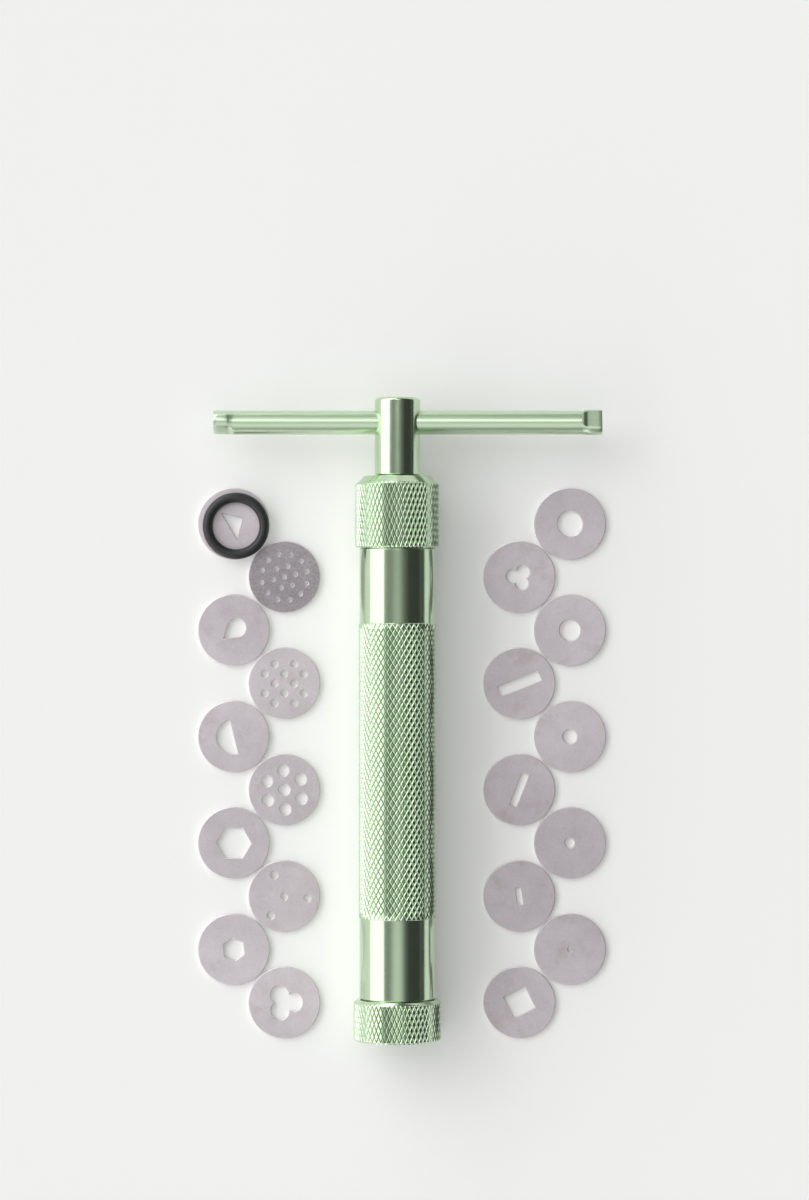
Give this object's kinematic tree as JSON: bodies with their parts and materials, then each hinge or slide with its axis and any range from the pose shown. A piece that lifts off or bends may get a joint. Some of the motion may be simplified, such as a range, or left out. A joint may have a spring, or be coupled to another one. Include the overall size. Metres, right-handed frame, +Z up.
{
  "type": "polymer clay extruder",
  "caption": "Hand-cranked clay press: a knurled barrel with screw caps, a feed screw turned by a sliding T-bar, and loose die discs with a sealing ring.",
  "frame": {"origin": "centre of the outlet in the front face of the end cap, on the barrel's axis", "axes": "+Y along the barrel towards the handle, +X along the T-bar, +Z up from the table it lies on"},
  "size_m": [0.1081, 0.1692, 0.023],
  "materials": {
    "anodised_aluminium": "satin",
    "plain_aluminium": "satin",
    "plain_steel": "satin",
    "stainless_steel": "satin",
    "black_rubber": "matt"
  },
  "bodies": {
    "barrel": {"barrel": "anodised_aluminium"},
    "end_cap": {"end_cap": "anodised_aluminium"},
    "top_cap": {"top_cap": "anodised_aluminium"},
    "plunger": {"plunger": "plain_aluminium"},
    "screw": {"feed_screw": "plain_steel", "screw_head": "anodised_aluminium", "plunger_screw": "plain_steel"},
    "handle_bar": {"handle_bar": "anodised_aluminium"},
    "sealing_ring": {"sealing_ring": "black_rubber"},
    "disc_triangle": {"disc_triangle": "stainless_steel"},
    "disc_nineteen_holes": {"disc_nineteen_holes": "stainless_steel"},
    "disc_teardrop": {"disc_teardrop": "stainless_steel"},
    "disc_twelve_holes": {"disc_twelve_holes": "stainless_steel"},
    "disc_half_round": {"disc_half_round": "stainless_steel"},
    "disc_seven_holes": {"disc_seven_holes": "stainless_steel"},
    "disc_large_hexagon": {"disc_large_hexagon": "stainless_steel"},
    "disc_four_holes": {"disc_four_holes": "stainless_steel"},
    "disc_small_hexagon": {"disc_small_hexagon": "stainless_steel"},
    "disc_large_trefoil": {"disc_large_trefoil": "stainless_steel"},
    "disc_largest_round": {"disc_largest_round": "stainless_steel"},
    "disc_small_trefoil": {"disc_small_trefoil": "stainless_steel"},
    "disc_large_round": {"disc_large_round": "stainless_steel"},
    "disc_long_slot": {"disc_long_slot": "stainless_steel"},
    "disc_medium_round": {"disc_medium_round": "stainless_steel"},
    "disc_medium_slot": {"disc_medium_slot": "stainless_steel"},
    "disc_small_round": {"disc_small_round": "stainless_steel"},
    "disc_short_slot": {"disc_short_slot": "stainless_steel"},
    "disc_smallest_round": {"disc_smallest_round": "stainless_steel"},
    "disc_square": {"disc_square": "stainless_steel"}
  },
  "joints": [
    {"name": "end_cap_off", "type": "slide", "parent": "barrel", "child": "end_cap", "axis": [0, -1, 0], "range_m": [0, 0.03]},
    {"name": "top_cap_off", "type": "slide", "parent": "barrel", "child": "top_cap", "axis": [0, 1, 0], "range_m": [0, 0.15]},
    {"name": "plunger_feed", "type": "slide", "parent": "top_cap", "child": "plunger", "axis": [0, 1, 0], "range_m": [0, 0.124]},
    {"name": "screw_turn", "type": "hinge", "parent": "plunger", "child": "screw", "pos_m": [0, 0.0148, 0], "axis": [0, 1, 0], "range_deg": [0, 22320]},
    {"name": "handle_slide", "type": "slide", "parent": "screw", "child": "handle_bar", "axis": [1, 0, 0], "range_m": [-0.041, 0.036]},
    {"name": "sealing_ring_lift", "type": "slide", "parent": "disc_triangle", "child": "sealing_ring", "axis": [0, 0, 1], "range_m": [0, 0.03]},
    {"name": "disc_triangle_lift", "type": "slide", "parent": "barrel", "child": "disc_triangle", "axis": [0, 0, 1], "range_m": [0, 0.03]},
    {"name": "disc_nineteen_holes_lift", "type": "slide", "parent": "barrel", "child": "disc_nineteen_holes", "axis": [0, 0, 1], "range_m": [0, 0.03]},
    {"name": "disc_teardrop_lift", "type": "slide", "parent": "barrel", "child": "disc_teardrop", "axis": [0, 0, 1], "range_m": [0, 0.03]},
    {"name": "disc_twelve_holes_lift", "type": "slide", "parent": "barrel", "child": "disc_twelve_holes", "axis": [0, 0, 1], "range_m": [0, 0.03]},
    {"name": "disc_half_round_lift", "type": "slide", "parent": "barrel", "child": "disc_half_round", "axis": [0, 0, 1], "range_m": [0, 0.03]},
    {"name": "disc_seven_holes_lift", "type": "slide", "parent": "barrel", "child": "disc_seven_holes", "axis": [0, 0, 1], "range_m": [0, 0.03]},
    {"name": "disc_large_hexagon_lift", "type": "slide", "parent": "barrel", "child": "disc_large_hexagon", "axis": [0, 0, 1], "range_m": [0, 0.03]},
    {"name": "disc_four_holes_lift", "type": "slide", "parent": "barrel", "child": "disc_four_holes", "axis": [0, 0, 1], "range_m": [0, 0.03]},
    {"name": "disc_small_hexagon_lift", "type": "slide", "parent": "barrel", "child": "disc_small_hexagon", "axis": [0, 0, 1], "range_m": [0, 0.03]},
    {"name": "disc_large_trefoil_lift", "type": "slide", "parent": "barrel", "child": "disc_large_trefoil", "axis": [0, 0, 1], "range_m": [0, 0.03]},
    {"name": "disc_largest_round_lift", "type": "slide", "parent": "barrel", "child": "disc_largest_round", "axis": [0, 0, 1], "range_m": [0, 0.03]},
    {"name": "disc_small_trefoil_lift", "type": "slide", "parent": "barrel", "child": "disc_small_trefoil", "axis": [0, 0, 1], "range_m": [0, 0.03]},
    {"name": "disc_large_round_lift", "type": "slide", "parent": "barrel", "child": "disc_large_round", "axis": [0, 0, 1], "range_m": [0, 0.03]},
    {"name": "disc_long_slot_lift", "type": "slide", "parent": "barrel", "child": "disc_long_slot", "axis": [0, 0, 1], "range_m": [0, 0.03]},
    {"name": "disc_medium_round_lift", "type": "slide", "parent": "barrel", "child": "disc_medium_round", "axis": [0, 0, 1], "range_m": [0, 0.03]},
    {"name": "disc_medium_slot_lift", "type": "slide", "parent": "barrel", "child": "disc_medium_slot", "axis": [0, 0, 1], "range_m": [0, 0.03]},
    {"name": "disc_small_round_lift", "type": "slide", "parent": "barrel", "child": "disc_small_round", "axis": [0, 0, 1], "range_m": [0, 0.03]},
    {"name": "disc_short_slot_lift", "type": "slide", "parent": "barrel", "child": "disc_short_slot", "axis": [0, 0, 1], "range_m": [0, 0.03]},
    {"name": "disc_smallest_round_lift", "type": "slide", "parent": "barrel", "child": "disc_smallest_round", "axis": [0, 0, 1], "range_m": [0, 0.03]},
    {"name": "disc_square_lift", "type": "slide", "parent": "barrel", "child": "disc_square", "axis": [0, 0, 1], "range_m": [0, 0.03]}
  ],
  "couplings": [
    {"joint": "plunger_feed", "follows": "screw_turn", "m_per_rad": 0.0003183}
  ]
}
